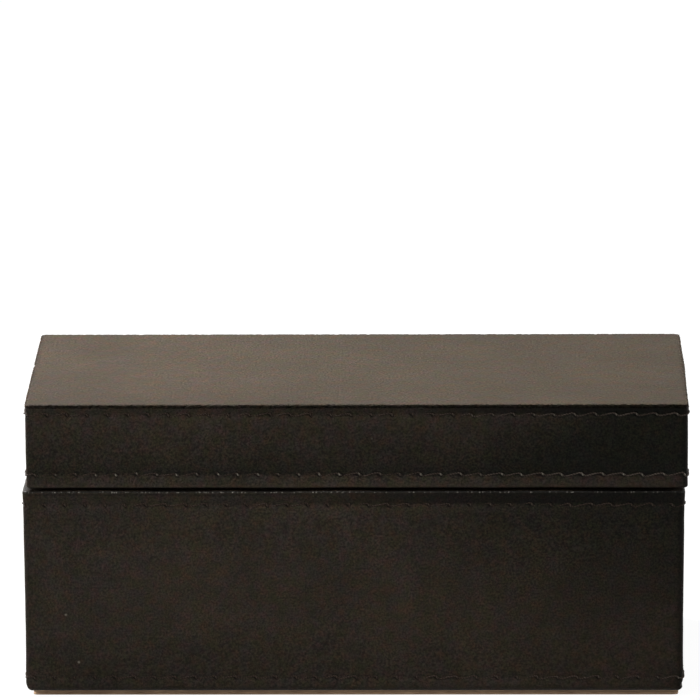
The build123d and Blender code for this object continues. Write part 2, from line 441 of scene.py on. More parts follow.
def waxed_hide(name, sewn, grain_height, fleck, shine, sheen):
    """Dark brown waxed hide: blotched colour, pebbled and wrinkled grain, dark cut edges, painted shade and
    glints.
    """
    warm = {"Sheen Weight": sheen, "Sheen Roughness": 0.3, "Sheen Tint": (1.0, 0.72, 0.48, 1)}
    hide = Material(name, {"Specular IOR Level": shine, **warm})
    cloud = hide.noise(130)
    speck = hide.noise(1250, 2)
    olive = hide.kept("olive")

    def tinted(tone, value, *stops):
        return hide.mix(1.0, tone, hide.ramp(value, *stops), "MULTIPLY")

    plain = (0.5, (1.0, 1.0, 1.0))
    tone = hide.ramp(hide.noise(24, 5), (0.22, HIDE_DARK), (0.5, HIDE_MIDDLE), (0.8, HIDE_LIGHT))
    tone = tinted(tone, hide.noise(260, 3), (0.36, (0.91, 1.05, 0.94)), plain, (0.64, (1.17, 0.94, 0.97)))
    wax = hide.noise(210, 3, stretch=(1.0, 1.1, 0.9))
    tone = tinted(tone, wax, (0.36, (1.02, 1.02, 0.86)), plain, (0.64, (0.99, 0.98, 1.17)))
    # painted shade: this value darkens and greens the front towards its right end and the lid's face down to
    # its rim seam
    tone = hide.mix(olive, tone, OLIVE_SHADE, "MULTIPLY")
    tone = tinted(tone, cloud, (0.3, 0.86), (0.7, 1.14))
    even = hide.ramp(speck, (0.34, 1 - fleck), (0.66, 1 + fleck))
    broken = hide.ramp(speck, (0.34, 0.2), (0.66, 1.8))
    tone = hide.mix(1.0, tone, hide.mix(olive, even, broken), "MULTIPLY")

    bead = hide.add("TexVoronoi", feature="F1", Scale=1000.0)
    hide.put(hide.stretched((1.0, 1.0, 0.2)), bead.inputs["Vector"])
    dash = hide.ramp(bead.outputs["Distance"], (0.14, 1.0), (0.42, 0.03))
    # a painted glint, partly wear, in beads along the base rim's fold, with painted shade between them
    tone = hide.mix(hide.kept("fold"), tone, hide.mix(dash, FOLD_SHADE, FOLD_GLINT_AND_WEAR))
    # the cut value darkens real cut edges and the hidden flesh side, and is also painted shade: in the gap,
    # beside seams, under the top sheet and at corners
    tone = hide.mix(hide.kept("cut"), tone, DARK_EDGE_AND_SHADE, "MULTIPLY")
    if sewn:
        # painted shade in the stitch holes
        tone = hide.mix(stitch_hole_shade(hide), tone, PIT_SHADE)
        for spot in DUST:
            tone = hide.mix(dust(hide, spot), tone, DUST_COLOUR)
    hide.put(hide.ramp(cloud, (0.3, 0.4), (0.7, 0.54)), hide.shader.inputs["Roughness"])

    warp = hide.add("TexNoise", Scale=300.0, Detail=3.0)
    hide.put(hide.place, warp.inputs["Vector"])
    shifted = hide.add("VectorMath", operation="MULTIPLY_ADD")
    shifted.inputs[1].default_value = (WARP, WARP, WARP)
    hide.put(warp.outputs["Color"], shifted.inputs[0])
    hide.put(hide.place, shifted.inputs[2])
    pebble = hide.add("TexVoronoi", feature="SMOOTH_F1", Scale=1050.0, Smoothness=0.6)
    hide.put(shifted.outputs["Vector"], pebble.inputs["Vector"])
    line = hide.noise(420, at=shifted.outputs["Vector"])
    wrinkle = hide.calc("ABSOLUTE", hide.calc("SUBTRACT", line, 0.5))
    grain = hide.calc("SUBTRACT", hide.calc("MULTIPLY", wrinkle, 2.2), pebble.outputs["Distance"])
    return hide.finish(tone, grain, 1.0, grain_height)


def tan_sole():
    """Tan sole leather with a raw cut edge: fibres along the edge and darker, burnished stretches."""
    sole = Material("tan_sole_leather", {"Roughness": 0.8, "Specular IOR Level": 0.25})
    fibre = sole.noise(900, stretch=(0.25, 0.25, 2.5))
    both = sole.mean(fibre, sole.noise(110))
    tone = sole.ramp(both, *zip((0.25, 0.55, 0.8), TAN_TONES))
    tone = sole.mix(sole.kept("cut"), tone, (0.03, 0.019, 0.012))
    return sole.finish(tone, fibre, 0.5, 0.2 * MM)


def brown_suede():
    """Short-napped brown suede: soft mottling where the nap lies over, and a pale sheen at its edges."""
    sheen = {"Sheen Weight": 0.2, "Sheen Roughness": 0.5, "Sheen Tint": (1.0, 0.82, 0.66, 1)}
    suede = Material("brown_suede", {"Roughness": 0.95, "Specular IOR Level": 0.05, **sheen})
    nap = suede.noise(55, 5, 0.65)
    fibre = suede.noise(2600, 3, 0.7)
    both = suede.mean(nap, fibre)
    colour = suede.ramp(both, *zip((0.28, 0.55, 0.8), SUEDE_TONES))
    return suede.finish(colour, suede.calc("ADD", fibre, nap), 0.55, 0.3 * MM)


def grey_board():
    """Binder's board: pressed grey fibre with darker and paler flecks."""
    board = Material("grey_board", {"Roughness": 0.9})
    pulp = board.noise(500, 5, 0.7)
    colour = board.ramp(pulp, *zip((0.3, 0.55, 0.8), BOARD_TONES))
    return board.finish(colour, pulp, 0.4, 0.2 * MM)


def waxed_thread():
    """Waxed dark brown linen thread: two laid-up cords, shinier and with a painted highlight where a stitch
    drops.

    The map of its lay runs in turns along and round it. The cosine of twice their difference is the two
    cords' section, and its low parts are the grooves between them, darkened in colour as painted shade.
    """
    linen = Material("waxed_linen_thread", {"Specular IOR Level": 0.07})
    tone = linen.ramp(linen.noise(160, 3), (0.3, (0.0185, 0.0115, 0.0082)), (0.7, (0.029, 0.018, 0.012)))
    tone = linen.mix(linen.kept("pale"), tone, (0.07, 0.055, 0.044))
    crest = linen.kept("crest")
    # painted highlight: the crest value makes the thread paler where a stitch drops
    tone = linen.mix(crest, tone, (0.175, 0.16, 0.128))
    along, around = linen.mapped("lay")
    apart = linen.calc("SUBTRACT", around, along)
    section = linen.calc("COSINE", linen.calc("MULTIPLY", apart, 4 * math.pi))
    cord = linen.mean(section, 1.0)
    # painted shade in the grooves between the cords
    tone = linen.mix(1.0, tone, linen.ramp(cord, (0.0, 0.2), (0.6, 1.0)), "MULTIPLY")
    linen.put(linen.ramp(crest, (0.0, 0.5), (1.0, 0.3)), linen.shader.inputs["Roughness"])
    fibre = linen.calc("MULTIPLY", linen.noise(2400, 3), 0.4)
    return linen.finish(tone, linen.calc("ADD", cord, fibre), 0.8, 0.14 * MM)


# Painted shade in slits at the stitch holes, in pitches
PIT_LENGTH = 0.19
PIT_WIDTH = 0.07
PIT_SHIFT = 0.09
PIT_SHADE = (0.003, 0.0022, 0.0015)

# Specks of dust on the front
DUST = [(0.0068, -0.0536, 0.1063), (-0.1145, -0.054, 0.0342), (-0.1097, -0.0539, 0.0145)]
DUST_SIZE = 0.8 * MM
DUST_COLOUR = (0.14, 0.126, 0.1)

# Hide colours
HIDE_DARK = (0.0168, 0.0133, 0.0097)
HIDE_MIDDLE = (0.0213, 0.0166, 0.0119)
HIDE_LIGHT = (0.0276, 0.0206, 0.0145)
OLIVE_SHADE = (0.26, 0.345, 0.315)  # what the hide keeps of its colour where painted shade darkens it and turns it greener
DARK_EDGE_AND_SHADE = (0.26, 0.25, 0.29)  # and what the dark parts keep: real cut edges, and painted shade in the gap, beside seams and at corners
FOLD_SHADE, FOLD_GLINT_AND_WEAR = (0.005, 0.0045, 0.0036), (0.125, 0.117, 0.1)  # beads along the rim's fold: painted shade between them, and a painted glint with some wear in them
WARP = 1.6 * MM  # how far the grain wanders

# Other colours, from dark to light
TAN_TONES = (0.35, 0.22, 0.132), (0.58, 0.39, 0.245), (0.72, 0.51, 0.33)
SUEDE_TONES = (0.034, 0.02, 0.013), (0.055, 0.033, 0.021), (0.078, 0.05, 0.033)
BOARD_TONES = (0.21, 0.195, 0.175), (0.31, 0.295, 0.265), (0.4, 0.385, 0.35)

HIDE = waxed_hide("waxed_hide_sewn", True, 0.18 * MM, 0.33, 0.045, 0.05)
HIDE_SHEET = waxed_hide("waxed_hide_sheet", False, 0.05 * MM, 0.58, 0.02, 0.15)
TAN = tan_sole()
SUEDE = brown_suede()
BOARD = grey_board()
LINEN = waxed_thread()


# ---- leather bands


class Seam:
    """One round of hand stitching.

    edge is the height of the rim or foot that it runs beside, offset is how far right of the front's middle
    a stitch drops, pull is how far it draws the leather in, heavier is the share by which it draws more at
    the right-hand end, shine is how bright the painted highlight on its drops is and how far they stand out,
    and dry is how much wax its right-hand end has lost.
    """

    def __init__(self, name, height, edge, offset, pull, heavier, shine, dry, seed):
        self.name, self.height, self.edge, self.offset = name, height, edge, offset
        self.pull, self.heavier, self.shine, self.dry, self.seed = pull, heavier, shine, dry, seed

    def phase(self, outline, run):
        """Pitches run since a stitch dropped at the front's middle."""
        return (run - outline.front_middle() - self.offset) * STITCHES / outline.length

    def floor(self, outline, run):
        """How far in the seam's own line lies, before the trough and the holes."""
        point, _ = outline.at(run)
        part = np.clip((point[..., 0] - outline.centre[0]) / outline.half[0], 0, 1)
        return self.pull * slack(outline, run) * (1 + self.heavier * part)

    def relief(self, outline, run, height):
        """How far the leather is drawn in: a broad dip, a narrow trough and a slanting dimple at each hole.

        Towards the near edge the leather flares out again as a power of the distance. Away from it the dip
        falls off as two powers of e, a short one and a long one, rounded at the line. The trough and the
        dimples are bell-shaped.
        """
        up = height - self.height
        phase = self.phase(outline, run)
        along = (phase - np.round(phase)) * outline.length / STITCHES
        rounded = np.sqrt(up**2 + PULL_ROUND**2) - PULL_ROUND
        away = 0.5 * np.exp(-rounded / DRAW_SHORT) + 0.5 * np.exp(-rounded / DRAW_LONG)
        flare = 1 - np.clip(rounded / (abs(self.edge - self.height) - PULL_MARGIN), 0, 1) ** 1.4
        dip = self.floor(outline, run) * np.where(up * (self.edge - self.height) > 0, flare, away)
        tight = 0.8 + 0.2 * np.cos(2 * math.pi * phase)
        trough = TROUGH_DEPTH * tight * bell(up, TROUGH_WIDTH)
        c, s = math.cos(HOLE_SLANT), math.sin(HOLE_SLANT)
        length = (along * c + up * s) / HOLE_LENGTH
        width = (up * c - along * s) / HOLE_WIDTH
        return dip + trough + HOLE_DEPTH * np.exp(-(length**2) - width**2)


def slack(outline, run):
    """How freely the leather gives: most along the long walls, less on short ones, little at corners."""
    point, outward = outline.at(run)
    long_wall = np.abs(outward[..., 1]) ** 4
    from_corner = np.abs(np.abs((point - outline.centre) / outline.half) - 1) * outline.half
    near = bell(np.max(from_corner, axis=-1), PULL_CORNER)
    return (0.3 + 0.7 * long_wall) * (1 - 0.75 * near)


def near_corner(outline):
    """One at the middle of each upright corner, dying away round it as a bell."""
    past = np.abs(outline.ring() - outline.centre) - (outline.half - outline.corner)
    distance = np.linalg.norm(past - outline.corner / math.sqrt(2), axis=1)
    return bell(distance, CORNER_SHADE)[None, :]


def base_tones(x, z, ahead):
    """How much painted shade darkens the base's leather and turns it greener: above its rim seam and at the
    front's right end.

    A dark line runs just under the rim's beads, the rim's own top takes painted shade for the dark of the
    gap, and the front takes painted shade near its rim and its foot.
    """
    # painted shade: the rim's top in the gap and the strip above the rim seam; beside them a dark line runs
    # under the rim
    top = smooth(z, RIM - (0.3 + 0.15 * (x > 0)) * MM, RIM - 0.1 * MM)
    seam = BASE_RIM_SEAM.height
    strip = 0.72 * smooth(x, -60 * MM, 50 * MM) * smooth(z, seam, seam + 1.2 * MM)
    strip = strip * smooth(RIM - z, 0.4 * MM, 0.8 * MM)
    line = 0.5 * bell(z - RIM + DARK_LINE, 0.5 * MM)
    # painted shade: darker and greener towards the front's right end, and near the rim and the foot
    right = smooth(x, 10 * MM, 105 * MM)
    olive = 0.72 * right * np.clip((z - 22 * MM) / (50 * MM), 0, 1)
    foot = 0.13 * smooth(30 * MM - z, 0.0, 18 * MM)
    ends = (0.08 + 0.1 * smooth(z, 58 * MM, 72 * MM)) * (1 - right) + foot
    return np.maximum(top, ahead * np.maximum(strip, line)), 0.05 + ahead * (olive + ends)


def lid_tones(x, z, ahead):
    """How much painted shade darkens the lid's leather and turns it greener: towards the front's right end,
    and down to its rim seam.

    The strip above the top seam is darkened at the right as painted shadow under the top sheet. The rim's
    underside takes painted shade for the dark of the gap.
    """
    low, high = LID_RIM_SEAM.height, LID_TOP_SEAM.height
    # painted shadow under the top sheet at the right, and painted shade on the rim's underside in the gap
    strip = 0.75 * smooth(x, 10 * MM, 70 * MM) * smooth(z, high, high + MM)
    under = smooth(LID_RIM - z, -0.55 * MM, -0.25 * MM)
    down = np.clip((high - z) / (high - low), 0, 1) ** 1.2
    right = 0.1 + 0.8 * smooth(x + 35 * MM * down, 45 * MM, 110 * MM)
    face = 1 - (1 - right) * (1 - 0.62 * down)
    above = smooth(z, low - 0.8 * MM, low + 0.3 * MM)
    lip = (0.34 - 0.18 * smooth(x, 60 * MM, 110 * MM)) * smooth(z, LID_RIM + 0.8 * MM, LID_RIM + 2.4 * MM)
    olive = above * face + (1 - above) * lip
    return np.maximum(ahead * strip, under), (0.25 + 0.75 * ahead) * olive


def band(body, outline, profile, face, boards, seams, tones, seed, extra=None):
    """One leather band: its profile carried round the box, with the relief of its outer face.

    It is the body's band. face is the lowest and highest height of the outer face and which is the open
    rim. boards is the (depth, height) box of what the leather is glued to. The outer surface is moved along
    its own normal by the waves, less the seams' dips. The inner surface is each point of the profile
    brought to the nearest point of the boards. Strips across the two ends close the band at its butt joint.
    tones gives the painted shade on the leather.
    """
    depth, height = profile
    outer = outline.points(depth, height)
    normal = grid_normals(outer)
    if normal[len(depth) // 2, 0, 1] < 0:
        normal = -normal
    run = outline.run[None, :]
    z = outer[:, :, 2]
    outside = (depth < RIM_ROLL)[:, None]
    on_face = outside & (z > face[0] - RIM_ROLL) & (z < face[1] + RIM_ROLL)
    relief = WAVE_HEIGHT * waves(run, z, outline.length, 38 * MM, seed)
    relief = relief + 0.35 * WAVE_HEIGHT * waves(run, z, outline.length, 9 * MM, seed + 1)
    between = np.clip((z - seams[0].height) / (seams[1].height - seams[0].height), 0, 1)
    relief = relief + FULLNESS * np.sin(math.pi * between) * slack(outline, run)
    for seam in seams:
        relief = relief - seam.relief(outline, run, z)
    if extra is not None:
        relief = relief + extra(outer, run, z)
    relief = np.where(on_face, relief, 0.0)
    outer = outer + normal * relief[:, :, None]

    chosen = np.unique(np.append(np.arange(0, len(depth), 6), len(depth) - 1))
    near_depth = np.clip(depth[chosen], boards[0][0], boards[0][1])
    near_height = np.clip(height[chosen], boards[1][0], boards[1][1])
    off = 0.1  # the share of the leather's thickness left free, so that the two never share a face
    inner_depth = near_depth + off * (depth[chosen] - near_depth)
    inner = outline.points(inner_depth, near_height + off * (height[chosen] - near_height))
    rows, columns = outer.shape[:2]
    inner_rows = len(chosen)
    first = rows * columns
    points = np.concatenate([outer.reshape(-1, 3), inner.reshape(-1, 3)])
    faces = grid_faces(rows, columns).tolist()
    faces += grid_faces(inner_rows, columns, first=first)[:, ::-1].tolist()
    for outer_row, inner_row in ((0, 0), (rows - 1, inner_rows - 1)):
        a = outer_row * columns + np.arange(columns)
        b = first + inner_row * columns + np.arange(columns)
        strip = np.stack([a[:-1], a[1:], b[1:], b[:-1]], 1)
        faces += (strip[:, ::-1] if outer_row == 0 else strip).tolist()
    for column in (0, columns - 1):
        for k in range(inner_rows - 1):
            edge = [r * columns + column for r in range(chosen[k], chosen[k + 1] + 1)]
            edge += [first + (k + 1) * columns + column, first + k * columns + column]
            faces.append(edge if column == 0 else edge[::-1])
    # where the painted glint and shade beads lie: on the base rim's roll
    fold = bell(z - RIM + 0.4 * MM, 0.24 * MM) * outside * (face[2] == "up")
    dark, olive = tones(outer[:, :, 0], z, np.clip(-outline.normal[None, :, 1], 0, 1))
    # painted shade on the upright corners, stronger at the right-hand ones
    dark = np.maximum(dark, near_corner(outline) * np.where(outer[:, :, 0] > 0, 0.9, 0.4))
    blank = np.zeros(inner_rows * columns)
    values = {
        "fold": np.concatenate([fold.ravel(), blank]),
        "cut": np.concatenate([dark.ravel(), blank + 1]),
        "olive": np.concatenate([olive.ravel(), blank]),
    }
    obj = make_mesh(f"{body}_band_leather", points, faces, HIDE, values)
    map_stitches(obj.data, outline, seams, run, z)
    finish_piece(obj, body, "cover_leather", f"{body}_leather_band")


def map_stitches(mesh, outline, seams, run, z):
    """The band's map of its stitches: pitches run since the last drop, and pitches above the nearer seam."""
    columns = z.shape[1]
    pitch = outline.length / STITCHES
    loops = read(mesh.loops, "vertex_index")
    starts = read(mesh.polygons, "loop_start")
    outer = loops < z.size
    height = np.where(outer, z.ravel()[np.minimum(loops, z.size - 1)], 0.0)
    face_of = np.searchsorted(starts, np.arange(len(loops)), side="right") - 1
    middle = height[starts][face_of]
    upper = middle > (seams[0].height + seams[1].height) / 2
    distance = np.broadcast_to(run, z.shape)[0][loops % columns]
    u = np.where(upper, seams[1].phase(outline, distance), seams[0].phase(outline, distance))
    v = (height - np.where(upper, seams[1].height, seams[0].height)) / pitch
    add_map(mesh, "stitches", u, np.where(outer, v, FAR_UP))


base_low, base_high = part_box("base_leather_band")
lid_low, lid_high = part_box("lid_leather_band")
neck_low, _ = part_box("neck_suede_cover")
NECK_DEPTH = neck_low[0] - base_low[0]  # from the outside of the leather to the neck
LID_INSIDE = LEATHER + (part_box("lid_left_board")[1][0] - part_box("lid_left_board")[0][0]) + TURNED_IN
RIM = base_high[2]
SHELL_BOTTOM = base_low[2]
LID_RIM = lid_low[2]
SHEET_BOTTOM = lid_high[2]
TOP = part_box("lid_top_sheet")[1][2]

# Each seam's edge and its height above that, then what Seam says
BASE_FOOT_SEAM, BASE_RIM_SEAM, LID_RIM_SEAM, LID_TOP_SEAM = (
    Seam(name, edge + above * MM, edge, offset * MM, pull * MM, *rest)
    for name, edge, above, offset, pull, *rest in (
        ("base_foot_stitching", SHELL_BOTTOM, 6.0, 0.85, 0.15, 0.0, 0.12, 0.2, 12),
        ("base_rim_stitching", RIM, -5.8, 6.0, 0.6, 0.0, 0.12, 0.12, 11),
        ("lid_rim_stitching", LID_RIM, 5.4, 1.2, 0.85, 0.15, 1.0, 1.0, 13),
        ("lid_top_stitching", TOP, -4.2, 6.1, 0.5, 0.5, 0.08, 0.85, 14),
    )
)

base_outline = Outline(base_low, base_high, CORNER, COLUMN_STEP, JOIN_GAP)
lid_outline = Outline(lid_low, lid_high, CORNER, COLUMN_STEP, JOIN_GAP)


def base_profile():
    """The base's leather, from under the floor, up the outside, over the rim and down the inside."""
    foot = turn(FOOT_ROLL, SHELL_BOTTOM + FOOT_ROLL, FOOT_ROLL, -90, 0, 9)
    fine = [BASE_FOOT_SEAM.height, BASE_RIM_SEAM.height, RIM - DARK_LINE]
    wall = spaced(SHELL_BOTTOM + FOOT_ROLL, RIM - RIM_ROLL, fine)
    roll = turn(RIM_ROLL, RIM - RIM_ROLL, RIM_ROLL, 0, 90, 13)
    return chain(
        level(FOOT_FOLD, FOOT_ROLL, SHELL_BOTTOM, 5),
        foot,
        (np.zeros(len(wall)), wall),
        roll,
        level(RIM_ROLL, NECK_DEPTH - RIM_ROLL, RIM, 4),
        turn(NECK_DEPTH - RIM_ROLL, RIM - RIM_ROLL, RIM_ROLL, 90, 180, 6),
        upright(NECK_DEPTH, RIM - RIM_ROLL, RIM - FOLD_DEPTH, 4),
    )


def lid_profile():
    """The lid's leather, from its edge inside, down round the rim and up the outside to the top sheet."""
    fine = [LID_RIM_SEAM.height, LID_TOP_SEAM.height]
    wall = spaced(LID_RIM + RIM_ROLL, SHEET_BOTTOM - CUT_EDGE_ROLL, fine)
    return chain(
        upright(LID_INSIDE, LID_RIM + FOLD_DEPTH, LID_RIM + RIM_ROLL, 4),
        turn(LID_INSIDE - RIM_ROLL, LID_RIM + RIM_ROLL, RIM_ROLL, 180, 270, 6),
        level(LID_INSIDE - RIM_ROLL, RIM_ROLL, LID_RIM, 3),
        turn(RIM_ROLL, LID_RIM + RIM_ROLL, RIM_ROLL, -90, 0, 7),
        (np.zeros(len(wall)), wall),
        turn(CUT_EDGE_ROLL, SHEET_BOTTOM - CUT_EDGE_ROLL, CUT_EDGE_ROLL, 0, 90, 4),
        level(CUT_EDGE_ROLL, LEATHER, SHEET_BOTTOM, 2),
    )


def base_shape(points, run, z):
    """The foot's right end has been knocked in, and both short walls flare out at the rim and at the foot.

    The dent is a low one that fades out round the corner. Each flare is bell-shaped and dies away on the
    roll, and the rim's is mostly at the front corners.
    """
    corner = base_high[0] - 6 * MM
    right = np.clip((points[:, :, 0] - corner) / (5 * MM), 0, 1)
    dent = 0.85 * MM * right * bell(z - SHELL_BOTTOM - 2.2 * MM, 1.9 * MM)
    left = points[:, :, 0] < base_outline.centre[0]
    ahead = 0.3 + 0.7 * bell(points[:, :, 1] - base_low[1], 18 * MM)
    rim = 0.32 * MM * ahead * bell(RIM - z, 7 * MM) * np.clip((RIM - z) / RIM_ROLL, 0, 1)
    foot = np.where(left, 0.4 * MM, 0.25 * MM) * bell(z - SHELL_BOTTOM, np.where(left, 0.02, 0.01))
    foot = foot * np.clip((z - SHELL_BOTTOM - 1.8 * MM) / (1.5 * MM), 0, 1)
    return (rim + foot) * np.abs(base_outline.normal[None, :, 0]) ** 4 - dent


BOARD_DEPTH = NECK_DEPTH - TURNED_IN
base_face = (SHELL_BOTTOM + FOOT_ROLL, RIM - RIM_ROLL, "up")
base_boards = ((LEATHER, BOARD_DEPTH), (SHELL_BOTTOM + TURNED_IN, RIM - LEATHER))
base_seams = [BASE_FOOT_SEAM, BASE_RIM_SEAM]
band("base", base_outline, base_profile(), base_face, base_boards, base_seams, base_tones, 101, base_shape)
lid_face = (LID_RIM + RIM_ROLL, SHEET_BOTTOM, "down")
lid_boards = ((LEATHER, LID_INSIDE - TURNED_IN), (LID_RIM + LEATHER, SHEET_BOTTOM))
lid_seams = [LID_RIM_SEAM, LID_TOP_SEAM]
band("lid", lid_outline, lid_profile(), lid_face, lid_boards, lid_seams, lid_tones, 202)


# ---- flat sheets


def sheet(name, node, material, shape, corner, roll, relief, wobble, seed, dark, step=COLUMN_STEP):
    """A flat sheet: its outline shrinks ring by ring, from the edge to a line along the middle.

    Both faces are made so. The upper edge is rolled. The outline wanders in and out by the wobble, as a
    hand-cut edge does, and shape says how far it stands out besides. The upper face rises and falls by the
    relief in gentle waves. dark says how dark the cut edge is and from how far below the top, and how much
    painted shade darkens the face beside its short ends and at the front of its left half.
    """
    edge_dark, edge_from, ends_dark, front_dark = dark
    low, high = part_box(node)
    outline = Outline(low, high, corner, step)
    half = outline.half[1]
    thickness = high[2] - low[2]
    inward = np.concatenate([np.linspace(roll, 3 * MM, 7)[1:], np.linspace(3 * MM, half, 22)[1:]])
    depth, height = chain(
        level(half, 0.2 * MM, low[2], 4),
        turn(0.2 * MM, low[2] + 0.2 * MM, 0.2 * MM, -90, 0, 3),
        upright(0.0, low[2] + 0.2 * MM, high[2] - roll, max(int((thickness - roll) / (0.25 * MM)), 2)),
        turn(roll, high[2] - roll, roll, 0, 90, 6),
        (inward, np.full(len(inward), high[2])),
    )
    points = outline.points(depth, height)
    points[0, :, 1] = points[-1, :, 1] = outline.centre[1]
    run = outline.run[None, :]
    edge = ((depth <= roll) & (height > low[2]))[:, None]
    wander = waves(run, points[:, :, 2], outline.length, 7 * MM, seed) * wobble
    wander = wander + 1.1 * wobble * waves(run, points[:, :, 2] * 3, outline.length, 1.8 * MM, seed + 1)
    outward = outline.normal[None, :, :]
    stand = shape(points, outline) - np.abs(wander)
    points[:, :, :2] += outward * np.where(edge, stand, 0.0)[:, :, None]
    upper = (height >= high[2] - 1e-9)[:, None]
    x, y = points[:, :, 0], points[:, :, 1]
    rise = waves(x, y, 1.0, 60 * MM, seed + 2) * relief
    rise = rise + 0.3 * relief * waves(x, y, 1.0, 14 * MM, seed + 3)
    points[:, :, 2] += np.where(upper, rise - np.abs(wander) * edge, 0.0)
    faces = grid_faces(*points.shape[:2], True)
    below = np.clip((high[2] - edge_from - height) / (0.15 * MM), 0, 1)[:, None]
    cut = np.where(edge, edge_dark * below, 0.0) * np.ones(points.shape[:2])
    # painted shade: the face beside the short ends and at its front left is darkened
    ends = ends_dark * bell(depth, 1.1 * MM)[:, None] * outline.normal[None, :, 0] ** 2
    front_left_shade = smooth(-x, -50 * MM, 60 * MM) * smooth(-y, -20 * MM, 50 * MM)
    cut = np.maximum(cut, np.maximum(ends, front_dark * front_left_shade) * upper)
    # painted shade: the top sheet darker and greener towards its right end and along its front edge
    painted_top_shade = 0.28 * smooth(x, -80 * MM, 40 * MM) + 0.4 * bell(y - low[1], 1.5 * MM)
    values = {"cut": cut, "olive": painted_top_shade, "fold": np.zeros(points.shape[:2])}
    return make_mesh(name, points, faces, material, values)


def top_shape(points, outline):
    """The top sheet stands out a little past the band, and further at the middle of its right end."""
    x, y = points[:, :, 0], points[:, :, 1]
    return 0.2 * MM + (x > 0) * 0.35 * MM * bell(y - 5 * MM, 22 * MM)


def sole_shape(points, outline):
    """The sole stands further out at its right end than at its left."""
    return np.where(points[:, :, 0] > 0, 1.2 * MM, 0.4 * MM) * outline.normal[None, :, 0] ** 2


# the top sheet's dark cut edge is edge dye and partly painted shade of the groove under it; the darkness
# beside its short ends and at its front left is painted shade
TOP_DARK = (0.35, 0.2 * MM, 0.9, 0.36)
SOLE_DARK = (0.35, 0.6 * MM, 0.0, 0.0)
top = {"corner": CORNER, "roll": 0.3 * MM, "relief": 0.03 * MM, "wobble": 0.2 * MM, "step": 0.55 * MM}
top_sheet = sheet("lid_top_leather", "lid_top_sheet", HIDE_SHEET, top_shape, seed=31, dark=TOP_DARK, **top)
finish_piece(top_sheet, "lid", "cover_leather", "lid_top_sheet")
sole = {"corner": 1.5 * MM, "roll": 0.2 * MM, "relief": 0.0, "wobble": 0.12 * MM}
for place, ply, seed in (("upper", "inner", 41), ("lower", "outer", 43)):
    name, node = f"sole_{place}_layer", f"sole_{ply}_ply"
    layer = sheet(name, node, TAN, sole_shape, seed=seed, dark=SOLE_DARK, **sole)
    finish_piece(layer, "base", "sole_leather", node)


# ---- stitching


# A stitch's path: parts of the pitch from the middle of its drop, its height in rises, its stand in threads
STITCH_PARTS = np.array([0, 0.05, 0.1, 0.15, 0.22, 0.33, 0.45, 0.57, 0.69, 0.79, 0.86, 0.91, 0.955])
STITCH_CLIMB = np.array([0, -0.26, -0.46, -0.53, -0.49, -0.34, -0.13, 0.08, 0.27, 0.42, 0.5, 0.46, 0.26])
STITCH_STAND = np.array([0.34, 0.2, -0.12, -0.32, -0.2, -0.06, 0, 0.02, 0.02, 0.02, 0.06, 0.16, 0.28])


def stitching(seam, outline, body):
    """All the thread of one seam: a tube carried along a saw-toothed line round the box.

    Within each pitch the line climbs gently from its low end to its high end and drops back steeply,
    standing proudest in the drop and dipping into the leather at its foot. Random waves along the seam make
    every stitch a little different.
    """
    phase = (np.arange(STITCHES)[:, None] + STITCH_PARTS[None, :]).ravel()
    pitch = outline.length / STITCHES
    run = np.mod(outline.front_middle() + seam.offset + phase * pitch, outline.length)
    climb, stand = np.tile(STITCH_CLIMB, STITCHES), np.tile(STITCH_STAND, STITCHES)
    uneven, loose, drift = (
        waves(run, 0 * run, outline.length, pitches * pitch, seam.seed + more)
        for pitches, more in ((1.7, 0), (1.3, 50), (2.2, 70))
    )
    height = seam.height + STITCH_RISE * climb * (1 + 0.16 * uneven) + 0.1 * MM * drift
    floor = seam.floor(outline, run) + 0.75 * TROUGH_DEPTH
    point, outward = outline.at(run + 0.02 * pitch * drift)
    dry = seam.dry * dry_thread(point, outline)
    pale = np.clip(dry * (0.8 + 0.2 * loose), 0, 1)
    short_wall = np.abs(outward[:, 0]) ** 4
    proud = stand * (0.5 + 0.5 * np.maximum(dry, seam.shine)) + 0.06 * loose
    out = THREAD * (proud - SUNK * (1 - dry) * (1 - short_wall) + 0.5 * short_wall) - floor
    middle = np.concatenate([point + outward * out[:, None], height[:, None]], -1)
    tangent = unit(np.roll(middle, -1, 0) - np.roll(middle, 1, 0))
    facing = np.concatenate([outward, np.zeros((len(run), 1))], -1)
    side = unit(np.cross(tangent, facing))
    facing = np.cross(side, tangent)
    sides = 7
    angle = np.arange(sides) * 2 * math.pi / sides
    from_drop = (STITCH_PARTS + 0.5) % 1 - 0.5
    drop = bell(np.tile(from_drop, STITCHES), 0.06)
    thick = (THREAD / 2 * (1 + 0.15 * drop))[:, None]
    ring = np.cos(angle)[None, :, None] * facing[:, None] + np.sin(angle)[None, :, None] * side[:, None]
    points = middle[:, None] + thick[:, :, None] * ring
    faces = grid_faces(len(run), sides, True, looped=True)
    rng = np.random.default_rng(seam.seed + 90)
    # how strong the painted highlight is at each stitch's drop
    shine = seam.shine * rng.uniform(0.0, 1.0, STITCHES) ** 1.5 + 0.45 * dry.reshape(STITCHES, -1)[:, 0]
    crest = (shine[:, None] * bell(from_drop, 0.05)[None, :]).ravel()
    values = {"crest": np.repeat(crest, sides), "pale": np.repeat(pale, sides)}
    obj = make_mesh(seam.name, points, faces, LINEN, values)
    map_lay(obj.data, np.append(phase, STITCHES) * LAY_TURNS, sides)
    finish_piece(obj, body, "waxed_thread")


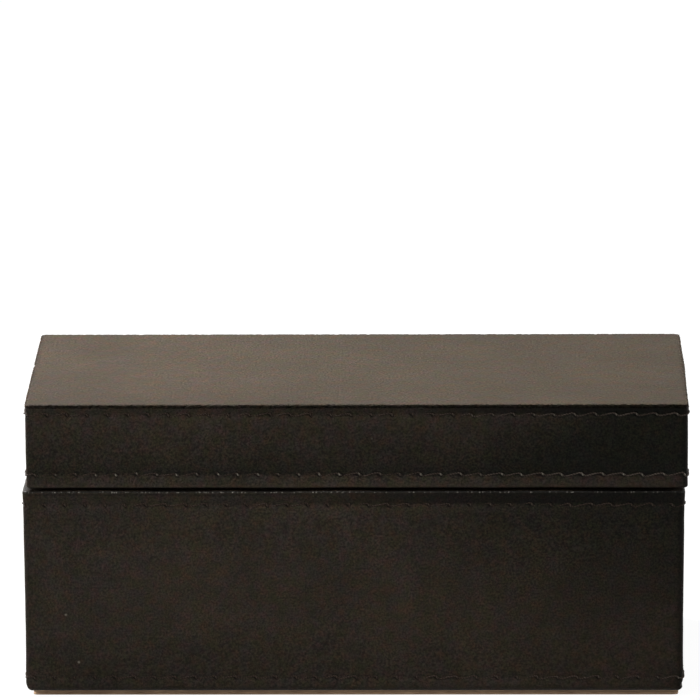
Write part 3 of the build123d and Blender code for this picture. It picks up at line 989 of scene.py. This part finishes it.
def map_lay(mesh, turns, sides):
    """The thread's map of its lay: turns of the two cords run along it, and parts of a turn round it.

    A corner that closes a face round the tube, or the last face of the loop, takes the end of its scale.
    """
    loops = read(mesh.loops, "vertex_index")
    face = np.arange(len(loops)) // 4
    ring, side = loops // sides, loops % sides
    ring = np.where((ring == 0) & (face // sides == len(turns) - 2), len(turns) - 1, ring)
    side = np.where((side == 0) & (face % sides == sides - 1), sides, side)
    add_map(mesh, "lay", turns[ring], side / sides)


def dry_thread(point, outline):
    """How much wax the thread has lost: none on the left, rising smoothly towards the right-hand end."""
    part = np.clip((point[..., 0] - outline.centre[0]) / outline.half[0], -1, 1)
    return 0.08 + 0.92 / (1 + np.exp(-(part - 0.45) / 0.14))


for body, outline, seams in (("base", base_outline, base_seams), ("lid", lid_outline, lid_seams)):
    for seam in seams:
        stitching(seam, outline, body)


# ---- suede linings


def suede_panel(name, node, facing, body, crown, roll, seed):
    """A lining panel: flat at the back, rolled over along its edges and slightly crowned where it shows.

    facing is the axis that it faces along and the sign. The shown face stands at the panel's thickness,
    less a quarter round within the roll of an edge, plus the crown times a flat-topped hump each way, plus
    waves.
    """
    low, high = (np.array(c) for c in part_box(node))
    axis, sign = facing
    across = [k for k in range(3) if k != axis]
    thickness = high[axis] - low[axis]

    def places(a, b):
        near = roll * (1 - np.cos(np.linspace(0, math.pi / 2, 5)))
        count = max(int((b - a - 2 * roll) / (4 * MM)), 6)
        return np.concatenate([a + near[:-1], np.linspace(a + roll, b - roll, count), (b - near[:-1])[::-1]])

    u, v = places(low[across[0]], high[across[0]]), places(low[across[1]], high[across[1]])
    gu, gv = np.meshgrid(u, v, indexing="ij")
    edge = np.minimum(np.minimum(gu - u[0], u[-1] - gu), np.minimum(gv - v[0], v[-1] - gv))
    inside = np.minimum(edge, roll)
    drop = roll - np.sqrt(np.maximum(roll**2 - (roll - inside) ** 2, 0))
    hump_u, hump_v = (1 - (2 * (g - w[0]) / (w[-1] - w[0]) - 1) ** 4 for g, w in ((gu, u), (gv, v)))
    hump = hump_u * hump_v
    bumps = waves(gu, gv, 1.0, 30 * MM, seed) * 0.03 * MM
    stand = thickness - drop + crown * hump + bumps * hump
    back = low[axis] if sign > 0 else high[axis]

    def lay(level):
        points = np.zeros(gu.shape + (3,))
        points[:, :, across[0]], points[:, :, across[1]] = gu, gv
        points[:, :, axis] = back + sign * level
        return points.reshape(-1, 3)

    rows, columns = gu.shape
    front = grid_faces(rows, columns)
    rear = grid_faces(rows, columns, first=rows * columns)[:, ::-1]
    index = np.arange(rows * columns).reshape(rows, columns)
    loop = np.concatenate([index[0, :-1], index[:-1, -1], index[-1, :0:-1], index[:0:-1, 0]])
    after = np.roll(loop, -1)
    wall = np.stack([after, loop, loop + rows * columns, after + rows * columns], 1)
    points = np.concatenate([lay(stand), lay(0.0)])
    obj = make_mesh(name, points, np.concatenate([front, rear, wall]), SUEDE)
    return finish_piece(obj, body, "suede_lining", node)


def neck_cover(name, node, body, seed):
    """Suede over the neck: a closed profile, up the outside, over the top and down the inside."""
    low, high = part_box(node)
    outline = Outline(low, high, 1.0 * MM, 1.5 * MM)
    board_low, board_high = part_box("neck_front_board")
    suede = board_low[1] - low[1]
    inside = board_high[1] - low[1] + suede
    tuck = RIM - 10 * MM
    roll = 0.4 * MM
    walls = np.linspace(tuck, high[2] - roll, 30)
    inner = np.linspace(high[2] - roll, low[2], 50)
    depth, height = chain(
        (np.zeros(len(walls)), walls),
        turn(roll, high[2] - roll, roll, 0, 90, 5),
        level(roll, inside - roll, high[2], 4),
        turn(inside - roll, high[2] - roll, roll, 90, 180, 5),
        (np.full(len(inner), inside), inner),
        ([inside - suede, inside - suede, suede, suede], [low[2], high[2] - suede, high[2] - suede, tuck]),
    )
    points = outline.points(depth, height)
    run = outline.run[None, :]
    shown = (height > low[2] + 0.1 * MM) & ((depth <= 0.0) | (depth >= inside))
    bumps = waves(run, points[:, :, 2], outline.length, 16 * MM, seed) * 0.03 * MM * shown[:, None]
    sign = np.where(depth <= 0, 1.0, -1.0)[:, None]
    points[:, :, :2] -= outline.normal[None] * (np.abs(bumps) * sign)[:, :, None]
    faces = grid_faces(*points.shape[:2], True, looped=True)
    obj = make_mesh(name, points, faces, SUEDE)
    return finish_piece(obj, body, "suede_lining", node)


neck_cover("neck_suede", "neck_suede_cover", "base", 61)
pad = suede_panel("floor_cushion", "base_floor_pad", (2, 1), "base", 0.35 * MM, 1.0 * MM, 62)
for side, facing, seed in (
    ("ceiling", (2, -1), 63),
    ("front", (1, 1), 64),
    ("back", (1, -1), 65),
    ("left", (0, 1), 66),
    ("right", (0, -1), 67),
):
    suede_panel(f"lid_{side}_suede", f"lid_{side}_lining", facing, "lid", 0.0, 0.3 * MM, seed)


# ---- frame nodes that show as they are

FINISHES = {
    "grey_board": BOARD,
    "filler_card": BOARD,
    "suede_lining": SUEDE,
    "cover_leather": HIDE_SHEET,
    "sole_leather": TAN,
}
for part in frame["record"]["subparts"]:
    node = frame["nodes"][part["node"]]
    node.data.materials.clear()
    node.data.materials.append(FINISHES[part["material_slot"]])


# ---- room, lamps and camera

AMBIENT = 0.22
FLOOR_HALF = 40.0
FLOOR_GREY = (0.28, 0.28, 0.28)
FLOOR_NEAR, FLOOR_FAR = 1.19, 1.26  # how brightly the floor shows, beside the box and further out
FADE_FROM, FADE_TO = 0.2, 1.5  # and how far out it changes
GLOW_SHARE = 0.8  # how much of the floor's look is its own light, so that the rest keeps the shadow


def white_room():
    """A pale floor that keeps a shadow, in a room that is white to the camera and to mirror-like rays."""
    mesh = bpy.data.meshes.new("floor")
    corners = [(FLOOR_HALF * x, FLOOR_HALF * y, 0) for x, y in ((-1, -1), (1, -1), (1, 1), (-1, 1))]
    mesh.from_pydata(corners, [], [(0, 1, 2, 3)])
    floor = bpy.data.objects.new("floor", mesh)
    bpy.context.scene.collection.objects.link(floor)
    material = bpy.data.materials.new("pale_floor")
    material.use_nodes = True
    paint = Nodes(material.node_tree)
    paint.tree.nodes.clear()
    centre = paint.add("VectorMath", operation="LENGTH")
    paint.put(paint.add("TexCoord").outputs["Object"], centre.inputs[0])
    glow = paint.add("Emission")
    bright = paint.fade(centre.outputs["Value"], FADE_FROM, FADE_TO, FLOOR_NEAR, FLOOR_FAR)
    paint.put(bright, glow.inputs["Strength"])
    mix = paint.add("MixShader")
    paint.put(paint.calc("MULTIPLY", seen_directly(paint), GLOW_SHARE), mix.inputs[0])
    paint.put(paint.add("BsdfDiffuse", Color=(*FLOOR_GREY, 1)).outputs[0], mix.inputs[1])
    paint.put(glow.outputs[0], mix.inputs[2])
    paint.put(mix.outputs[0], paint.add("OutputMaterial").inputs["Surface"])
    mesh.materials.append(material)

    world = bpy.data.worlds.new("room")
    world.use_nodes = True
    bpy.context.scene.world = world
    room = Nodes(world.node_tree)
    light = room.tree.nodes["Background"]
    light.inputs["Color"].default_value = (1, 1, 1, 1)
    strength = room.add("MapRange", **{"To Min": AMBIENT, "To Max": 1.0})
    room.put(seen_directly(room), strength.inputs["Value"])
    room.put(strength.outputs["Result"], light.inputs["Strength"])


def seen_directly(nodes):
    """One where the ray comes from the camera, a gloss or a clear material, and nought elsewhere."""
    path = nodes.add("LightPath")
    seen = path.outputs["Is Camera Ray"]
    for name in ("Is Glossy Ray", "Is Transmission Ray"):
        seen = nodes.calc("MAXIMUM", seen, path.outputs[name])
    return seen


def stand(data, right, up, back, place):
    """Puts an object with the given data at a place, with its own three axes in the given directions."""
    obj = bpy.data.objects.new(data.name, data)
    bpy.context.scene.collection.objects.link(obj)
    turned = Matrix.Identity(4)
    for k in range(3):
        turned[k][0], turned[k][1], turned[k][2], turned[k][3] = right[k], up[k], back[k], place[k]
    obj.matrix_world = turned
    return obj


def lamp(name, kind, place, aim, power, **settings):
    """A soft lamp at a place, turned towards a point and out of the picture."""
    light = bpy.data.lights.new(name, kind)
    for key, value in {**settings, "energy": power}.items():
        setattr(light, key, value)
    place, aim = np.array(place, float), np.array(aim, float)
    back = (place - aim) / np.linalg.norm(place - aim)
    side = np.cross([0, 0, 1], back)
    side /= np.linalg.norm(side)
    stand(light, side, np.cross(back, side), back, place).visible_camera = False


white_room()
# Each spot's place, what it points at, the full angle in degrees where its pool of light ends, and its power
for name, place, aim, angle, power in (
    ("overhead_front", (-0.1, -0.22, 0.8), (0.0, -0.054, 0.04), 24, 25),
    ("overhead_right", (0.15, -0.14, 0.7), (0.06, -0.054, 0.05), 30, 4),
    ("high_left", (-0.8, -0.4, 0.5), (-0.08, -0.054, 0.05), 20, 40),
    ("high_front_left", (-0.45, -0.5, 0.6), (-0.08, -0.054, 0.06), 22, 8),
    ("low_right", (0.35, -0.6, 0.5), (0.09, -0.054, 0.015), 14, 9),
    ("right_side", (1.1, 0.25, 0.35), (0.13, 0.01, 0.055), 12, 48),
):
    spread = {"spot_size": math.radians(angle), "spot_blend": 1.0, "shadow_soft_size": 0.12}
    lamp(name, "SPOT", place, aim, power, **spread)
lamp("overhead_back", "AREA", (-0.55, 0.4, 0.75), (-0.05, 0, 0.1), 40.5, shape="SQUARE", size=0.4)

# Camera: a long lens, a little to the right and looking down
LENS = 329.05
SENSOR = 36.0
CAMERA = (0.0420, -2.4659, 0.7895)
DOWN, ASIDE, ROLL = (math.radians(a) for a in (15.019, -1.036, -0.346))


def place_camera():
    """The camera: its place, its lens, and its turn down, aside and about its own line of sight."""
    data = bpy.data.cameras.new("camera")
    data.lens, data.sensor_width = LENS, SENSOR
    data.clip_end = 200
    ahead = np.array([math.sin(ASIDE) * math.cos(DOWN), math.cos(ASIDE) * math.cos(DOWN), -math.sin(DOWN)])
    right = np.array([math.cos(ASIDE), -math.sin(ASIDE), 0])
    up = np.cross(right, ahead)
    level_right = math.cos(ROLL) * right + math.sin(ROLL) * up
    level_up = -math.sin(ROLL) * right + math.cos(ROLL) * up
    bpy.context.scene.camera = stand(data, level_right, level_up, -ahead, CAMERA)


place_camera()
bpy.context.scene.view_settings.view_transform = "Standard"
